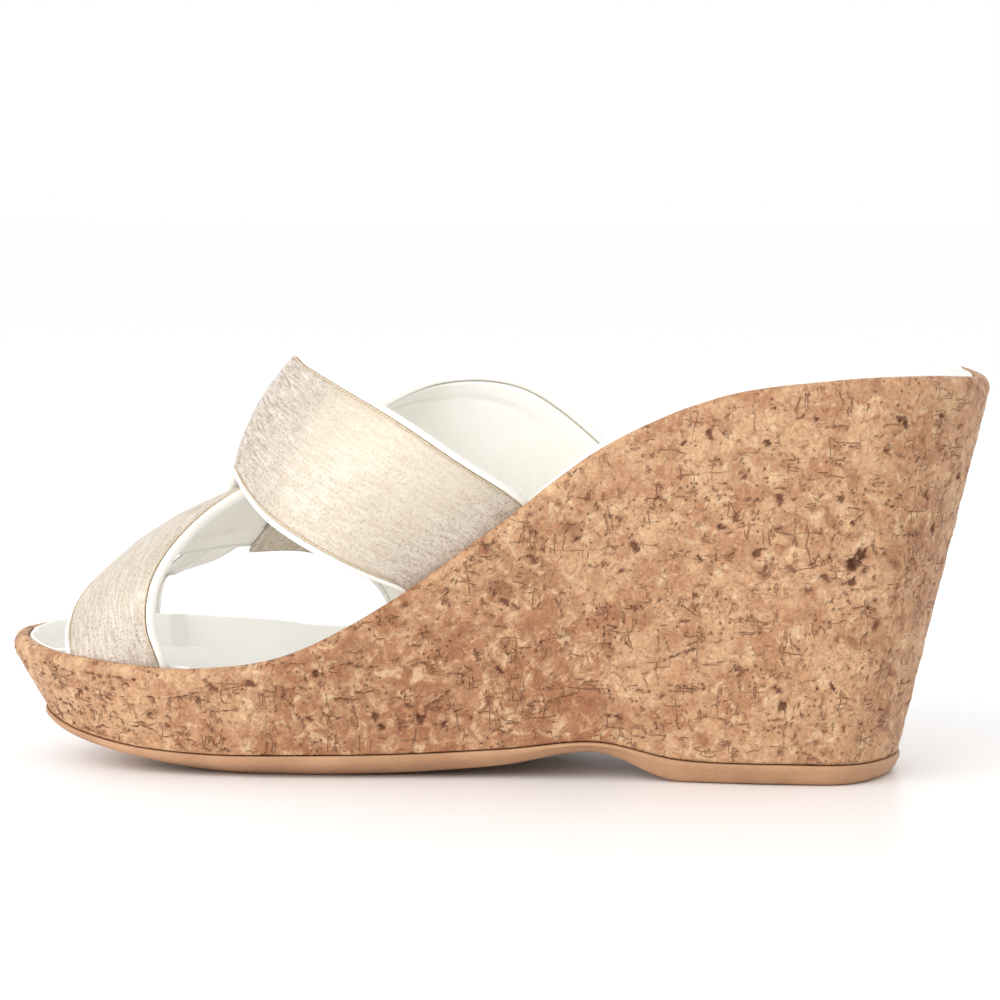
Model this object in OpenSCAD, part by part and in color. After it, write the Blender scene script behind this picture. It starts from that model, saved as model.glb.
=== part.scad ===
// Wedge sandal: a slip-on mule with a cork-covered wedge and two crossing straps.
// Toe towards -X, inner (medial) side towards -Y, +Z up. The tread rests on Z = 0.

/* [Wedge] */
// Scale of the heights of the wedge and straps
height_scale = 1; // [0.9:0.05:1.15]
// Scale of the widths of the sole and straps
width_scale = 1; // [0.9:0.05:1.1]
// Thickness of the cork sheet round the wedge
cork_t = 1.4; // [1:0.1:2]
// Radius of the rolled rim at the top of the cork sheet
rim_r = 2.2; // [1.2:0.1:2.6]

/* [Footbed] */
// Depth of the footbed below the rim at the forefoot
cup_depth = 7; // [5:0.5:8]
// How far the edge of the footbed stands above the rim at the heel
heel_rise = 0.6; // [0.2:0.1:0.8]
// How far the heel of the footbed crowns above its edge
heel_crown = 1.2; // [0.8:0.2:2]
// Thickness of the sock lining
sock_t = 1.2; // [0.8:0.1:1.5]
// Thickness of the soft foam under the sock lining
foam_t = 2.6; // [2:0.2:3]
// Thickness of the insole board
board_t = 2; // [1.6:0.1:2.4]

/* [Shank] */
// Length of the steel shank
shank_l = 96; // [80:1:100]
// Width of the steel shank
shank_w = 14; // [10:1:18]
// Thickness of the steel shank
shank_t = 1.5; // [1:0.1:2]

/* [Straps] */
// Thickness of the outer fabric
fabric_t = 0.7; // [0.5:0.1:0.9]
// Thickness of the foam between fabric and lining
padding_t = 1.2; // [0.8:0.1:1.4]
// Thickness of the lining
lining_t = 0.6; // [0.5:0.1:0.8]
// Width of the padded white edge beside the fabric
edge_w = 1.9; // [1.4:0.1:2.4]
// Diameter of the golden piping between the fabric and the edge
piping_d = 0.8; // [0.6:0.1:1]
// How far each strap crowns between its edges
strap_crown = 2.6; // [1.5:0.1:3]

/* [Hidden] */

CORK = [0.78, 0.61, 0.46];
RUBBER = [0.79, 0.62, 0.48];
WHITE = [0.95, 0.94, 0.92];
CHAMPAGNE = [0.9, 0.85, 0.78];
GOLD = [0.83, 0.7, 0.5];

// Gap left between the layers of the sole, and between the layers of a strap
fit = 0.15;
bond = 0.03;
// Rounding of the edges of the cork sheet and the sock lining
soften = 0.5;
// Steps of the spline between two points of a sole outline, and of a strap
sole_steps = 5;
strap_steps = 3;
// Faces across a strap
strap_faces = 6;
strap_t = fabric_t + padding_t + lining_t;
// Width of the slot beside the footbed that holds a strap's end
slot_w = strap_t + 1.1;

// The sole is drawn through cross lines from toe to heel. Each holds a point on the inner
// side and a point on the outer side, as [x, y, z].
rim_lines = [
    [[-116, -11, 31], [-116, -11, 31]],
    [[-112, -23, 30], [-112.5, 3, 31]],
    [[-101, -32.5, 28.2], [-104, 20, 30.5]],
    [[-85, -37, 26.6], [-91, 35, 29.2]],
    [[-66, -39, 26], [-70, 44, 27.2]],
    [[-44, -37.5, 29.5], [-46, 46.5, 25.8]],
    [[-21, -33.5, 41.5], [-20, 44.5, 36]],
    [[4, -30, 59.5], [6, 40, 58.5]],
    [[30, -28.5, 79], [31, 36, 79]],
    [[57, -28.5, 90.8], [58, 34, 91]],
    [[84, -28, 95], [85, 33, 95]],
    [[104, -20.5, 95.8], [105, 24, 96]],
    [[114.5, 2, 94.6], [114.5, 2, 94.6]]];
// Lower edge of the cork sheet, where it meets the outsole
joint_lines = [
    [[-110, -10.5, 13.5], [-110, -10.5, 13.5]],
    [[-106.5, -21.5, 12.2], [-107, 2.5, 12.2]],
    [[-97, -30, 9.4], [-99, 18.5, 9.4]],
    [[-82, -35.5, 6.8], [-86, 32.5, 6.8]],
    [[-63, -37.5, 5.6], [-66, 41, 5.6]],
    [[-42, -36.5, 5.8], [-42, 44, 5.4]],
    [[-19, -32.5, 6.2], [-18, 42, 6]],
    [[6, -28.5, 7.6], [6, 37.5, 7.6]],
    [[28, -26.5, 9.6], [28, 33, 9.6]],
    [[48, -25.5, 5.8], [48, 31, 5.8]],
    [[72, -25, 5.4], [72, 30, 5.4]],
    [[89, -19.5, 5.2], [89, 23.5, 5.2]],
    [[96, 2, 5], [96, 2, 5]]];
// Edge of the tread on the ground side of the outsole
tread_lines = [
    [[-105, -10, 10.2], [-105, -10, 10.2]],
    [[-101.5, -17, 8.2], [-102, 1, 8.2]],
    [[-92, -23, 5], [-95, 14, 5]],
    [[-78, -27.5, 1.8], [-82, 26, 1.8]],
    [[-61, -30, 0.2], [-64, 34.5, 0.2]],
    [[-42, -29.5, 0], [-42, 37, 0]],
    [[-19, -27, 0.7], [-18, 35.5, 0.7]],
    [[5, -24.5, 2.8], [5, 32.5, 2.8]],
    [[27, -23, 6.4], [27, 29.5, 6.4]],
    [[46, -23, 0.2], [46, 28.5, 0.2]],
    [[70, -22.5, 0], [70, 27.5, 0]],
    [[87, -18.5, 0], [87, 22.5, 0]],
    [[94, 2, 0], [94, 2, 0]]];

// Plain vector helpers
function mix(a, b, t) = a + (b - a) * t;
function unit(v) = v / norm(v);
function clamp01(t) = min(1, max(0, t));
function smooth(a, b, v) = let (t = clamp01((v - a) / (b - a))) t * t * (3 - 2 * t);
// A bump that is 1 between a and b, with soft ends of length s
function bump(a, b, s, v) = smooth(a - s, a, v) * (1 - smooth(b, b + s, v));

// One step of a Catmull-Rom spline through b and c
function between(a, b, c, d, t) =
    0.5 * (2 * b + (c - a) * t + (2 * a - 5 * b + 4 * c - d) * t * t
    + (3 * b - a - 3 * c + d) * t * t * t);
function closed_spline(p, steps) = let (n = len(p))
    [for (i = [0 : n - 1], k = [0 : steps - 1])
        between(p[(i + n - 1) % n], p[i], p[(i + 1) % n], p[(i + 2) % n], k / steps)];
function open_spline(p, steps) = let (n = len(p), last = n - 1)
    [for (i = [0 : last - 1], k = [0 : steps - (i == last - 1 ? 0 : 1)])
        between(p[max(i - 1, 0)], p[i], p[i + 1], p[min(i + 2, last)], k / steps)];

// The closed outline through a list of cross lines, anticlockwise seen from above
function outline(lines) = let (last = len(lines) - 1)
    [for (p = closed_spline(concat([for (l = lines) l[0]],
        [for (i = [last - 1 : -1 : 1]) lines[i][1]]), sole_steps))
        [p[0], p[1] * width_scale, max(0, p[2]) * height_scale]];

// The outline moved in by a distance and up by a height, each a number for each point. Points
// move along the line across the sole, and near the toe and heel tips square to the outline.
function moved(loop, inward, up) = let (n = len(loop))
    [for (i = [0 : n - 1]) let (
        t = loop[(i + 1) % n] - loop[(i + n - 1) % n],
        in = unit([-t[1], t[0], 0]),
        across = loop[(n - i) % n] - loop[i],
        width = norm([across[0], across[1]]),
        way = width < 1 ? in : mix(in, across / width, smooth(30, 90, width)))
        loop[i] + way * inward[i] + [0, 0, up[i]]];
function same(loop, v) = [for (p = loop) v];
function ring(loop, inward, up) = moved(loop, same(loop, inward), same(loop, up));

// A closed solid through rings of points, from the lowest ring to the highest. Both ends are
// closed by strips that join each point to the one across the sole.
module loft(rings) {
    n = len(rings[0]);
    top = (len(rings) - 1) * n;
    sides = [for (j = [0 : len(rings) - 2], i = [0 : n - 1]) let (
        a = j * n + i, b = j * n + (i + 1) % n)
        each [[a, a + n, b + n], [a, b + n, b]]];
    upper = [for (i = [0 : n / 2 - 1]) let (
        a = top + i, b = top + i + 1, c = top + (n - i) % n, d = top + n - i - 1)
        each concat(i == 0 ? [] : [[a, c, b]], i == n / 2 - 1 ? [] : [[b, c, d]])];
    lower = [for (i = [0 : n / 2 - 1]) let (a = i, b = i + 1, c = (n - i) % n, d = n - i - 1)
        each concat(i == 0 ? [] : [[a, b, c]], i == n / 2 - 1 ? [] : [[b, d, c]])];
    polyhedron(points = [for (r = rings) each r], faces = concat(sides, upper, lower));
}

// A closed ring-shaped solid: the last ring joins back to the first
module band(rings) {
    n = len(rings[0]);
    m = len(rings);
    polyhedron(points = [for (r = rings) each r],
        faces = [for (j = [0 : m - 1], i = [0 : n - 1]) let (
            k = (j + 1) % m, a = j * n + i, b = j * n + (i + 1) % n,
            c = k * n + i, d = k * n + (i + 1) % n)
            each [[a, c, d], [a, d, b]]]);
}

rim = outline(rim_lines);
joint = outline(joint_lines);
tread = outline(tread_lines);
count = len(rim);

// Middle of the sole at a place along it: how far across, and the height of the rim
inner_side = [for (i = [0 : count / 2]) rim[i]];
outer_side = [for (i = [0 : count / 2]) rim[(count - i) % count]];
function half_sum(x, k) = (lookup(x, [for (p = inner_side) [p[0], p[k]]])
    + lookup(x, [for (p = outer_side) [p[0], p[k]]])) / 2;

// Depth of the footbed's edge below the rim: deep at the forefoot, proud at the heel
function depth_at(x) = mix(cup_depth, -heel_rise, smooth(-75, 25, x));
floor_down = [for (p = rim) -depth_at(p[0])];
// How far each point of the footbed's edge stands in to make room for a strap's end. The strap
// at the outer side of the toe goes in at a slant, so its slot is wider.
outer_toe_slot = 1.35;
function on_inner_side(i) = i < count / 2;
slot = [for (i = [0 : count - 1]) let (x = rim[i][0])
    slot_w * (on_inner_side(i)
        ? bump(-101, -71, 5, x) + bump(-20, 15, 5, x)
        : outer_toe_slot * bump(-109, -92, 4, x) + bump(-39, 26, 5, x))];
// Inner face of the cork sheet
inner = rim_r + cork_t + 2 * fit;
// Outer wall of the cork at a depth below the rim, a number for each point
shoulder = 1.4 * rim_r;
widest = ring(rim, -rim_r, -shoulder);
function cork_wall(down) = [for (i = [0 : count - 1]) let (
    f = clamp01((down[i] - shoulder) / (widest[i][2] - joint[i][2])),
    p = mix(widest[i], joint[i], f))
    [p[0], p[1], rim[i][2] - down[i]]];

// A ring of the footbed, at a distance in from the cork and a height above the footbed's edge.
// Its part is 0 at the edge, beside the straps' ends, and 1 at the crown in the middle.
crown = [for (p = rim) mix(0.8, heel_crown, smooth(0, 60, p[0]))];
// Its height follows the middle of the sole where it moves along it.
function bed(inward, up, part = 0) = let (
    edge = cork_wall([for (d = floor_down) -d - up]),
    in = moved(edge, [for (s = slot) inner + s * (1 - part) + inward], [for (c = crown) c * part]))
    [for (i = [0 : count - 1]) in[i]
        + [0, 0, half_sum(in[i][0], 2) - half_sum(edge[i][0], 2)]];
// A ring on the turned-up wall of the sock lining, at a depth below the rim
// It turns further down inside where the footbed is a cup.
function wall(inward, down, turn = 0) = moved(
    cork_wall([for (d = floor_down) down - max(d, 0) + turn * clamp01(-d / 2)]),
    [for (s = slot) inner + s + inward], same(rim, 0));
foam_down = -sock_t - fit;
board_down = foam_down - foam_t - fit;
core_down = board_down - board_t - 2 * fit;
// The seat in the top of the wedge that holds the shank
seat_in = 10;
seat_depth = shank_t + 1.1;
// How far the slots for the straps' ends go down into the wedge
slot_depth = 1.5;

function board_under(x) = half_sum(x, 2) - depth_at(x) + board_down - board_t;

shank_from = -28;
shank_gap = 0.7;
shank_y = 3 * width_scale;
rivet_x = [shank_from + 8, shank_from + shank_l - 8];
rivet_r = 2;
nail_r = 0.9;
nail_l = 12;
nail_spots = [[78, -10], [78, 14], [92, -8], [92, 12], [99, 2]];

// Place of a strap's edge in the slot on one side: 0 the inner side, 1 the outer side
strap_end_down = 5.5;
function foot(side, x, down) = let (
    loop = moved(cork_wall(same(rim, down)), same(rim, inner + fit), same(rim, 0)),
    line = [for (i = [0 : count / 2]) loop[side == 0 ? i : (count - i) % count]])
    [x, lookup(x, [for (p = line) [p[0], p[1]]]) / width_scale,
    lookup(x, [for (p = line) [p[0], p[2]]]) / height_scale];
function feet(side, a, b, down) = [foot(side, a, down), foot(side, b, down)];

// The straps are drawn through cross lines too, from the inner side of the foot over to the
// outer side. Each holds a point on the toe-side edge and one on the heel-side edge.
front_strap_lines = concat(
    [feet(0, -99, -73, strap_end_down), feet(0, -100, -73.5, 0)], [
    [[-102, -24.5, 33], [-76.4, -38.2, 36]],
    [[-101.5, -17, 38.5], [-76, -35, 46.5]],
    [[-98.5, -8, 43.5], [-72, -24, 56]],
    [[-93, 2, 48], [-65, -7, 64]],
    [[-84, 15, 48.5], [-49, 7, 73]],
    [[-71, 28, 49], [-34, 18, 86]],
    [[-56, 38, 47.2], [-19, 29, 92]],
    [[-42, 43.5, 38.5], [2, 34, 89.5]]],
    [feet(1, -36, 23, 0), feet(1, -36, 23, strap_end_down)]);
rear_strap_lines = concat(
    [feet(0, -17, 12, strap_end_down), feet(0, -17.5, 12, 0)], [
    [[-30, -36, 49.8], [-2, -33, 76]],
    [[-42, -34, 55.5], [-18, -31, 86]],
    [[-52, -27, 60.5], [-34, -20, 93]],
    [[-60, -15, 65], [-45, -8, 97]],
    [[-66, -2, 68.5], [-51, 4, 98.5]],
    [[-69.5, 10, 67], [-53.5, 15, 91]],
    [[-74.5, 21, 62], [-57, 26.5, 79]],
    [[-81, 29.5, 54.5], [-62.5, 35, 65]],
    [[-89, 32.5, 46.8], [-71, 39.5, 52.5]],
    [[-97, 30, 40], [-81, 41.5, 45.5]],
    [[-104.5, 22, 34.8], [-93.5, 37, 40.5]]],
    [feet(1, -107, -95, 0), feet(1, -106, -95, strap_end_down)]);

// Each row across a strap: its two edge points, its width, the way each edge runs, and how far
// it crowns. At its ends a strap follows the curve of the sole instead.
end_rows = 2 * strap_steps;
function edge_of(lines, k) = [for (p = open_spline([for (l = lines) l[k]], strap_steps))
    [p[0], p[1] * width_scale, p[2] * height_scale]];
function strap(lines, first_crown, last_crown) = let (
    f = edge_of(lines, 0), r = edge_of(lines, 1), last = len(f) - 1)
    [for (i = [0 : last]) let (
        a = max(i - 1, 0), b = min(i + 1, last),
        bulge = mix(mix(first_crown, strap_crown, smooth(strap_steps, 2 * end_rows, i)),
            last_crown, smooth(last - 2 * end_rows, last - strap_steps, i)))
        [f[i], r[i], norm(r[i] - f[i]), f[b] - f[a], r[b] - r[a], bulge]];
// A point of a strap: t across it, and off out from its outer face
function on_strap(row, t, off) = let (
    out = unit(cross(row[1] - row[0], mix(row[3], row[4], t))))
    mix(row[0], row[1], t) + out * (off + row[5] * 4 * t * (1 - t));
// A grid over a strap at one level, leaving a margin along both edges
function level(rows, margin, off) = [for (row = rows) let (m = margin / row[2])
    [for (j = [0 : strap_faces]) on_strap(row, mix(m, 1 - m, j / strap_faces), off)]];

front_strap = strap(front_strap_lines, 0.8, 0.6);
rear_strap = strap(rear_strap_lines, 0, 1);

// A closed sheet between two grids of points, the outer one first
module sheet(outer, under) {
    s = len(outer);
    t = len(outer[0]);
    n = s * t;
    function at(i, j) = i * t + j;
    faces = [for (i = [0 : s - 2], j = [0 : t - 2]) let (
        a = at(i, j), b = at(i + 1, j), c = at(i + 1, j + 1), d = at(i, j + 1))
        each [[a, b, c], [a, c, d], [n + a, n + c, n + b], [n + a, n + d, n + c]]];
    ends = [for (i = [0 : s - 2]) let (
        a = at(i, 0), b = at(i + 1, 0), c = at(i, t - 1), d = at(i + 1, t - 1))
        each [[b, a, n + a], [b, n + a, n + b], [c, d, n + d], [c, n + d, n + c]]];
    tips = [for (j = [0 : t - 2]) let (
        a = at(0, j), b = at(0, j + 1), c = at(s - 1, j), d = at(s - 1, j + 1))
        each [[a, b, n + b], [a, n + b, n + a], [d, c, n + c], [d, n + c, n + d]]];
    polyhedron(points = concat([for (r = outer) each r], [for (r = under) each r]),
        faces = concat(faces, ends, tips));
}

// A closed tube through rings of points
module tube(rings) {
    n = len(rings[0]);
    m = len(rings);
    sides = [for (j = [0 : m - 2], i = [0 : n - 1]) let (
        a = j * n + i, b = j * n + (i + 1) % n)
        each [[a, a + n, b + n], [a, b + n, b]]];
    polyhedron(points = [for (r = rings) each r], faces = concat(sides,
        [[for (i = [0 : n - 1]) i]], [[for (i = [n - 1 : -1 : 0]) (m - 1) * n + i]]));
}
// Tubes along both edges of a strap: centre at a distance in from the edge and off out from
// the face, with radius a across and b out from the face
module edge_tubes(rows, from_edge, off, a, b, sides) {
    for (side = [0, 1])
        tube([for (row = rows) let (
            across = unit(row[1] - row[0]),
            out = unit(cross(row[1] - row[0], side == 0 ? row[3] : row[4])),
            m = from_edge / row[2],
            c = on_strap(row, side == 0 ? m : 1 - m, off))
            [for (k = [0 : sides - 1]) let (q = -360 * k / sides)
                c + across * a * cos(q) + out * b * sin(q)]]);
}

// The drawing is moved so that the widest outline of the sole has its middle on the Z axis
function middle(k) = (min([for (p = widest) p[k]]) + max([for (p = widest) p[k]])) / 2;
module placed() {
    translate([-middle(0), -middle(1), 0]) children();
}

// The side of the outsole is straight from the tread up to this share of its height, stands
// out a little beyond the cork above that, and turns in to it at the top
belly = 0.55;
sole_lip = 0.5;
lip_down = 1;
belly_down = [for (i = [0 : count - 1]) (tread[i][2] - joint[i][2]) * (1 - belly)];

module outsole() {
    color(RUBBER) placed() loft([
        ring(tread, 0, 0),
        moved(joint, same(joint, 0), belly_down),
        ring(joint, -sole_lip, -lip_down),
        ring(joint, -sole_lip, -2 * fit)]);
}

// Depth below the rim at which the cork sheet thins under the wedge's shoulder
ledge_down = [for (i = [0 : count - 1]) min(-floor_down[i] - core_down + slot_depth,
    rim[i][2] - joint[i][2] - rim_r - 2 * soften)];
function cork_inside(down, inward) = moved(cork_wall(down), same(rim, inward), same(rim, 0));
// The wedge's shoulder, with the slots for the straps' ends
function slotted(down, add) = moved(cork_wall([for (d = down) d + add]),
    [for (s = slot) inner + s], same(rim, 0));

module cork_cover() {
    color(CORK) placed() band(concat(
        [ring(joint, 0, 0)],
        [for (a = [0 : 30 : 90]) ring(rim, -rim_r * cos(a), -shoulder * (1 - sin(a)))],
        [ring(rim, cork_t - soften, -soften / 4), ring(rim, cork_t, -soften)],
        [cork_inside(same(rim, shoulder), rim_r + cork_t),
        cork_inside(ledge_down, rim_r + cork_t),
        cork_inside([for (d = ledge_down) d + rim_r], cork_t), ring(joint, cork_t, 0)]));
}

module wedge_core() {
    color(CORK) placed() difference() {
        loft([
            ring(joint, cork_t + 2 * fit, 0),
            cork_inside([for (d = ledge_down) d + rim_r + fit], cork_t + 2 * fit),
            cork_inside([for (d = ledge_down) d + 2 * fit], inner),
            slotted(ledge_down, -soften),
            bed(0, core_down - fit),
            bed(seat_in, core_down - 2 * fit),
            bed(seat_in + soften, core_down - seat_depth)]);
        nails(nail_r);
    }
}

// Puts a part on the middle of the shank at x, square to it
module at_shank(x) {
    slope = atan2(board_under(x + 1) - board_under(x - 1), 2);
    translate([x, shank_y, board_under(x) - shank_gap - shank_t / 2]) rotate([0, -slope, 0])
        children();
}

module steel_shank() {
    steps = 24;
    top = [for (i = [0 : steps]) let (x = shank_from + shank_l * i / steps)
        [x, board_under(x) - shank_gap]];
    color("silver") placed() difference() {
        translate([0, shank_y + shank_w / 2, 0]) rotate([90, 0, 0]) linear_extrude(shank_w)
            polygon(concat(top, [for (i = [steps : -1 : 0]) top[i] - [0, shank_t]]));
        for (x = rivet_x) at_shank(x)
            cylinder(h = 4 * shank_t, r = rivet_r, center = true, $fn = 32);
    }
}

module shank_rivets() {
    color("goldenrod") placed() for (x = rivet_x) at_shank(x)
        cylinder(h = shank_t, r = rivet_r, center = true, $fn = 32);
}

module nails(r) {
    for (p = nail_spots) translate([p[0], p[1], board_under(p[0]) + board_t - nail_l])
        cylinder(h = nail_l, r = r, $fn = 24);
}

module heel_nails() {
    color("silver") placed() nails(nail_r);
}

// The board and foam stand this far in from the cork
board_in = 0.4;

module insole_board() {
    color("tan") placed() difference() {
        loft([bed(board_in, core_down + 2 * fit), bed(board_in, board_down)]);
        nails(nail_r);
    }
}

module footbed_foam() {
    color("beige") placed() loft([bed(board_in, board_down + fit), bed(board_in, foam_down)]);
}

// The crown reaches its full height this far in from the footbed's edge
crown_in = 10.2;
// The crowned pad stands this far in from the footbed's edge, and a little further in it has
// reached a part of its height
pad_in = 4.5;
pad_out = 7.8;
pad_part = 0.6;
// Depth of the top of the sock lining's wall below the rim
lining_down = 0.3;

module comfort_pad() {
    color("lightyellow") placed() loft([
        bed(pad_in, foam_down + fit), bed(pad_in, foam_down + 3 * fit),
        bed(pad_out, foam_down + 3 * fit, pad_part), bed(crown_in, foam_down + 3 * fit, 1)]);
}

module sock_lining() {
    color(WHITE) placed() loft([
        bed(crown_in, -sock_t + 3 * fit, 1), bed(pad_out, -sock_t + 3 * fit, pad_part),
        bed(pad_in - soften, -sock_t + 3 * fit), bed(pad_in - 3 * soften, -sock_t), bed(0, -sock_t),
        wall(0, lining_down + soften), wall(sock_t / 2, lining_down), wall(sock_t, lining_down, soften),
        bed(sock_t + soften, fit), bed(sock_t + 2.5, fit), bed(pad_out, 0, pad_part),
        bed(crown_in, 0, 1)]);
}

// Levels of a strap below its outer face
padding_at = -fabric_t - bond;
lining_at = padding_at - padding_t - bond;

module strap_fabric(rows) {
    color(CHAMPAGNE) placed() sheet(level(rows, edge_w, 0), level(rows, edge_w, -fabric_t));
}
module strap_foam(rows) {
    under = padding_at - padding_t;
    color("beige") placed() sheet(level(rows, edge_w, padding_at), level(rows, edge_w, under));
}
module strap_lining(rows) {
    under = lining_at - lining_t;
    color(WHITE) placed() sheet(level(rows, edge_w, lining_at), level(rows, edge_w, under));
}
module strap_edges(rows) {
    color(WHITE) placed() edge_tubes(rows, edge_w / 2, -strap_t / 2, edge_w / 2 - bond, strap_t / 2, 8);
}
// The piping stops where the strap goes in beside the footbed
module strap_piping(rows) {
    shown = [for (i = [strap_steps + 1 : len(rows) - strap_steps - 2]) rows[i]];
    r = piping_d / 2;
    color(GOLD) placed() edge_tubes(shown, edge_w + r, r + bond, r, r, 6);
}

// The tab that ties the straps together lies under the toe-side edge of the front strap, along
// these rows of it and across these shares of its width
tab_rows = [21 : 25];
tab_from = 0;
tab_to = 0.32;
tab_faces = 4;
tab_t = 0.9;

module crossing_tab() {
    function tab(off) = [for (i = tab_rows) [for (j = [0 : tab_faces])
        on_strap(front_strap[i], mix(tab_from, tab_to, j / tab_faces), off)]];
    color(CHAMPAGNE) placed() sheet(tab(-strap_t - 3 * fit), tab(-strap_t - 3 * fit - tab_t));
}

module front_strap_lining() strap_lining(front_strap);
module front_strap_foam() strap_foam(front_strap);
module front_strap_fabric() strap_fabric(front_strap);
module front_strap_edges() strap_edges(front_strap);
module front_strap_piping() strap_piping(front_strap);
module rear_strap_lining() strap_lining(rear_strap);
module rear_strap_foam() strap_foam(rear_strap);
module rear_strap_fabric() strap_fabric(rear_strap);
module rear_strap_edges() strap_edges(rear_strap);
module rear_strap_piping() strap_piping(rear_strap);

outsole();
cork_cover();
wedge_core();
steel_shank();
shank_rivets();
heel_nails();
insole_board();
footbed_foam();
comfort_pad();
sock_lining();
front_strap_lining();
front_strap_foam();
front_strap_fabric();
front_strap_edges();
front_strap_piping();
rear_strap_lining();
rear_strap_foam();
rear_strap_fabric();
rear_strap_edges();
rear_strap_piping();
crossing_tab();
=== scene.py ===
"""Looks of a wedge sandal: a cork-covered wedge, a white footbed and two crossing fabric straps.

Lengths in the shape tables are in millimetres, in the frame in which the part is drawn.
The toe points to -X. The inner side of the foot is at -Y and the outer side at +Y.
"""

import math

import bpy
import numpy as np
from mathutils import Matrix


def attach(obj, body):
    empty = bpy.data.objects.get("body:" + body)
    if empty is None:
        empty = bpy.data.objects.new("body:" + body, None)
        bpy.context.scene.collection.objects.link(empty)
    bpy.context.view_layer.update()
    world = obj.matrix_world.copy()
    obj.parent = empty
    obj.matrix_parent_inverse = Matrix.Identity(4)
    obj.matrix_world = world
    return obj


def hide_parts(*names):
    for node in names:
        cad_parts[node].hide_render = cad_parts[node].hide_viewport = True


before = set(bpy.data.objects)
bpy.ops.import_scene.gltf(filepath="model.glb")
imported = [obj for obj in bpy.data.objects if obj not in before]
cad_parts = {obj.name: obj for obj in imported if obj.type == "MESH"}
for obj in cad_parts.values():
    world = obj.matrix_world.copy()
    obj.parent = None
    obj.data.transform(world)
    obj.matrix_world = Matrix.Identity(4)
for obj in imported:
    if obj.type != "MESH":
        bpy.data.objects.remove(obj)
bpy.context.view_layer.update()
rng = np.random.default_rng(7)
MM = 0.001

# ---------------------------------------------------------------- sizes, as in the part
# T is a thickness, R a radius, IN a distance in from the footbed's edge, DOWN a depth.
CORK_T = 1.4
RIM_R = 2.2
SHOULDER = 1.4 * RIM_R
CUP_DEPTH = 7
HEEL_RISE = 0.6
HEEL_CROWN = 1.2
SOCK_T = 1.2
FOAM_T = 2.6
BOARD_T = 2
FABRIC_T = 0.7
PADDING_T = 1.2
LINING_T = 0.6
STRAP_T = FABRIC_T + PADDING_T + LINING_T
EDGE_W = 1.9
PIPING_R = 0.4
STRAP_CROWN = 2.6
FIT = 0.15
BOND = 0.03
SOFTEN = 0.5
SLOT_W = STRAP_T + 1.1
OUTER_TOE_SLOT = 1.35
INNER = RIM_R + CORK_T + 2 * FIT
SLOT_DEPTH = 1.5
FOAM_DOWN = -SOCK_T - FIT
BOARD_DOWN = FOAM_DOWN - FOAM_T - FIT
CORE_DOWN = BOARD_DOWN - BOARD_T - 2 * FIT
BOARD_IN = 0.4
PAD_IN = 4.5
PAD_OUT = 7.8
PAD_PART = 0.6
CROWN_IN = 10.2
LINING_DOWN = 0.3
SOLE_LIP = 0.5
TAB_T = 0.9
TAB_REACH = 0.32
SOLE_STEPS = 40
STRAP_STEPS = 22

# ---------------------------------------------------------------- what only the looks have
# How much the sock lining's wall is raised on the outer side, away from the slots
LINING_PROUD = 1.0
# The gouge near the heel: its place, then half length, half width, turn, depth and lip
GOUGE_X = 88
GOUGE_Z = 54
GOUGE_SHAPE = (5.2, 1.0, 0.7, 1.5, 0.4)
# How many features the cork has
CLUSTERS = 60
SMALL_PITS = 1500
CRACKS = 380
LARGE_PITS = 80
# Spacing of the cork's wall points, about
WALL_STEP = 0.5
# Scale of the weave across the tab
TAB_SPAN = 34
# Lamps: name, place and size in metres, power in watts
LAMPS = [
    ("key_light", (-0.45, -1.1, 0.8), (1.0, 0.8), 6.5),
    ("fill_light", (-0.9, -0.6, 0.4), (0.8, 0.6), 3.5),
    ("back_light", (0.1, 0.9, 0.9), (1.2, 0.6), 0.8),
]
LAMP_TARGET = (0, 0, 0.05)
FLOOR_HALF = 6.0
CAMERA_AWAY = 900
CAMERA_UP = 148.5
CAMERA_TURN = math.radians(11)
CAMERA_DOWN = math.radians(5.4)

# Cross lines of the sole from toe to heel: a point on the inner side, a point on the outer side
RIM_LINES = [
    ((-116, -11, 31), (-116, -11, 31)),
    ((-112, -23, 30), (-112.5, 3, 31)),
    ((-101, -32.5, 28.2), (-104, 20, 30.5)),
    ((-85, -37, 26.6), (-91, 35, 29.2)),
    ((-66, -39, 26), (-70, 44, 27.2)),
    ((-44, -37.5, 29.5), (-46, 46.5, 25.8)),
    ((-21, -33.5, 41.5), (-20, 44.5, 36)),
    ((4, -30, 59.5), (6, 40, 58.5)),
    ((30, -28.5, 79), (31, 36, 79)),
    ((57, -28.5, 90.8), (58, 34, 91)),
    ((84, -28, 95), (85, 33, 95)),
    ((104, -20.5, 95.8), (105, 24, 96)),
    ((114.5, 2, 94.6), (114.5, 2, 94.6)),
]
JOINT_LINES = [
    ((-110, -10.5, 13.5), (-110, -10.5, 13.5)),
    ((-106.5, -21.5, 12.2), (-107, 2.5, 12.2)),
    ((-97, -30, 9.4), (-99, 18.5, 9.4)),
    ((-82, -35.5, 6.8), (-86, 32.5, 6.8)),
    ((-63, -37.5, 5.6), (-66, 41, 5.6)),
    ((-42, -36.5, 5.8), (-42, 44, 5.4)),
    ((-19, -32.5, 6.2), (-18, 42, 6)),
    ((6, -28.5, 7.6), (6, 37.5, 7.6)),
    ((28, -26.5, 9.6), (28, 33, 9.6)),
    ((48, -25.5, 5.8), (48, 31, 5.8)),
    ((72, -25, 5.4), (72, 30, 5.4)),
    ((89, -19.5, 5.2), (89, 23.5, 5.2)),
    ((96, 2, 5), (96, 2, 5)),
]
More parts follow.
